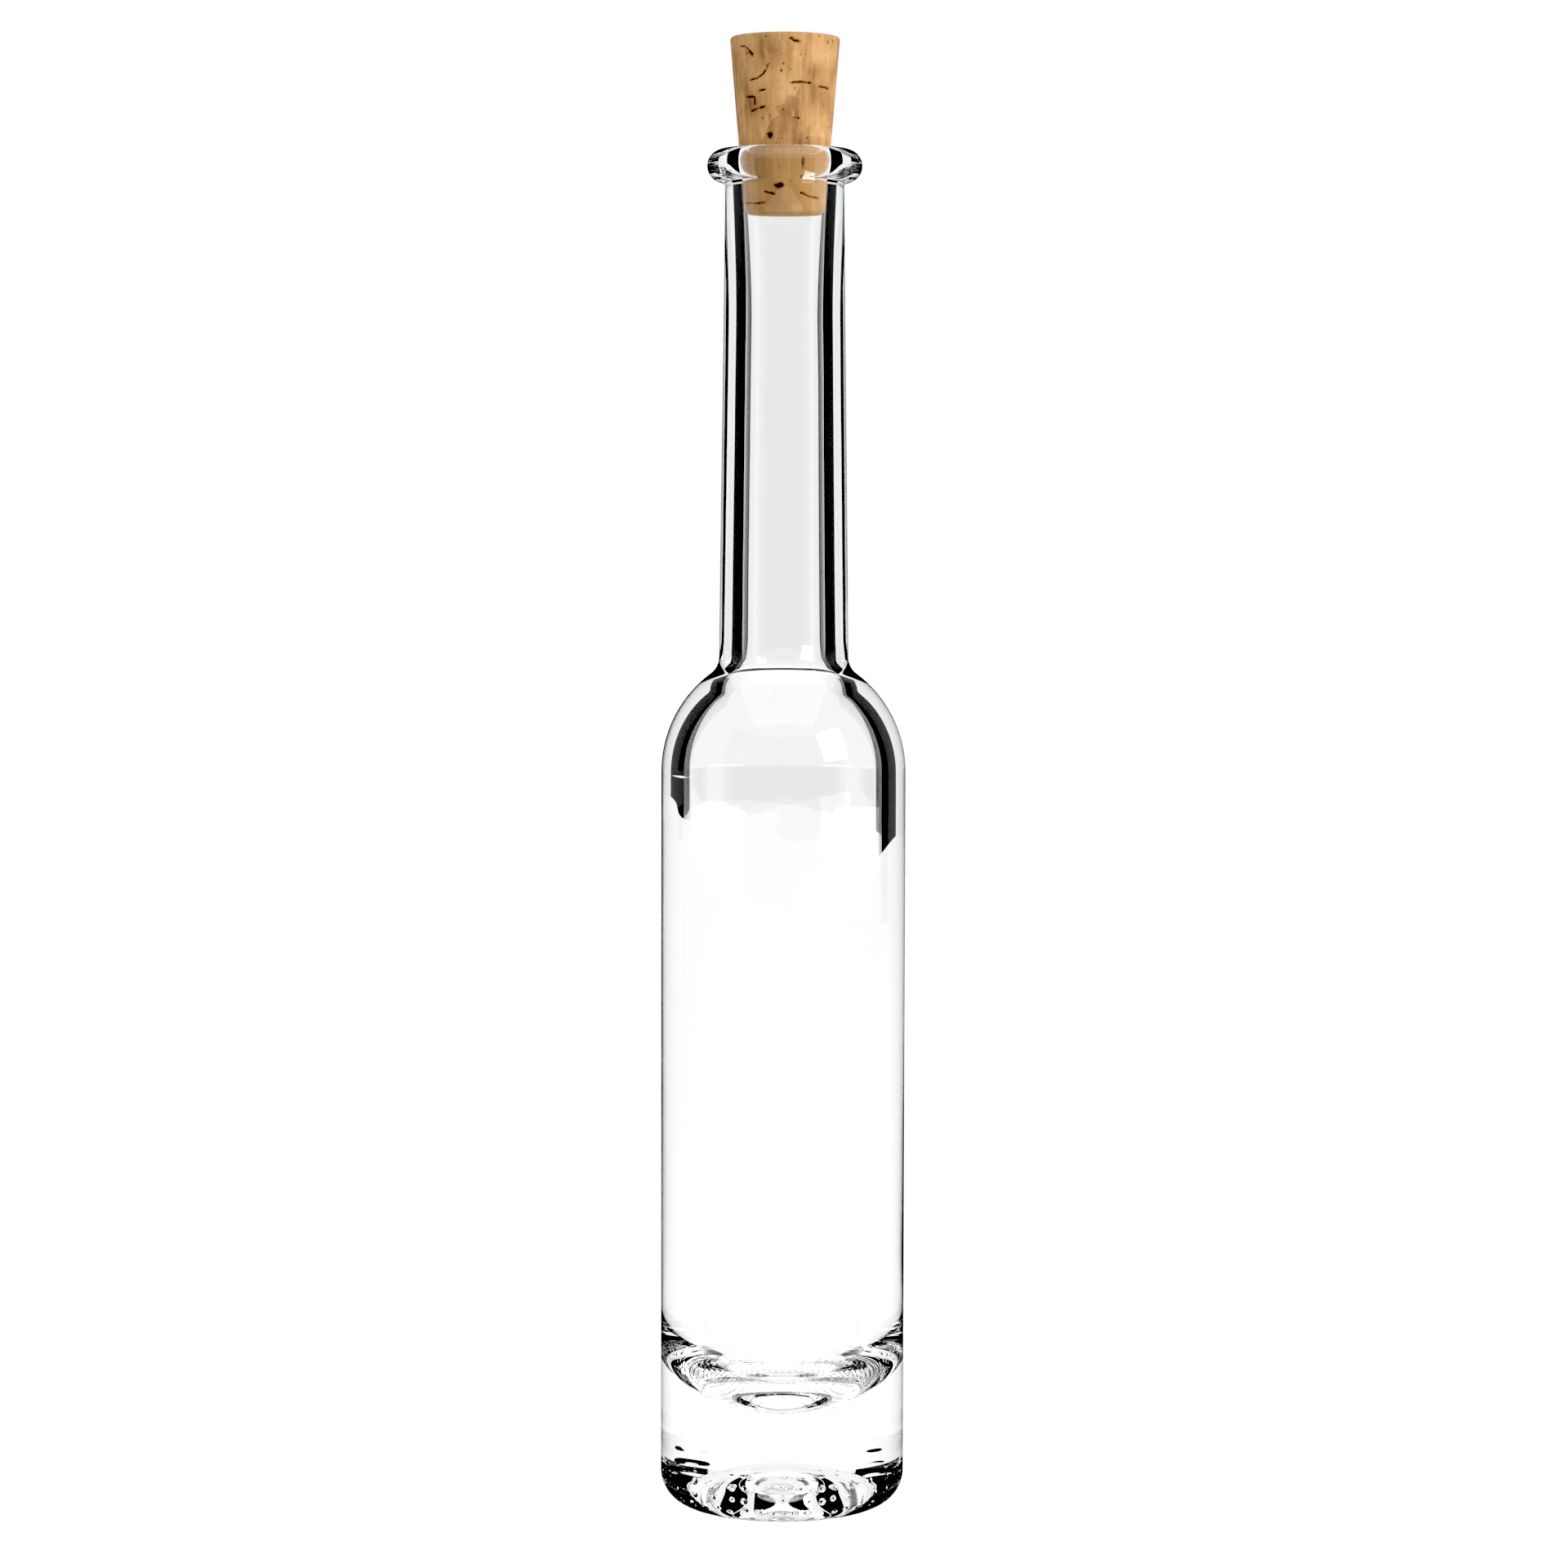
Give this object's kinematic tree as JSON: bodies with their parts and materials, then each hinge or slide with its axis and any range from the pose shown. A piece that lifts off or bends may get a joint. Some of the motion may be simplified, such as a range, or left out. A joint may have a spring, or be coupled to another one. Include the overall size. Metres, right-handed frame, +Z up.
{
  "type": "glass bottle with cork",
  "caption": "Tall clear glass bottle with a straight round body, heavy domed base, ball shoulder, long narrow neck, ringed lip and a tapered cork that lifts out.",
  "frame": {"origin": "centre of the ring that the bottle stands on, in the plane of the table", "axes": "+Z up along the bottle's axis; the bottle is round, so X and Y are alike"},
  "size_m": [0.04, 0.04, 0.2403],
  "materials": {
    "clear_glass": "clear, fire-polished, with a gently uneven inner wall",
    "natural_cork": "natural cork, matt, with fine grain, pits and dark flecks"
  },
  "bodies": {
    "bottle": {"glass_bottle": "clear_glass"},
    "cork": {"cork_stopper": "natural_cork"}
  },
  "joints": [
    {"name": "cork_slide", "type": "slide", "parent": "bottle", "child": "cork", "axis": [0, 0, 1], "range_m": [0, 0.03]}
  ]
}
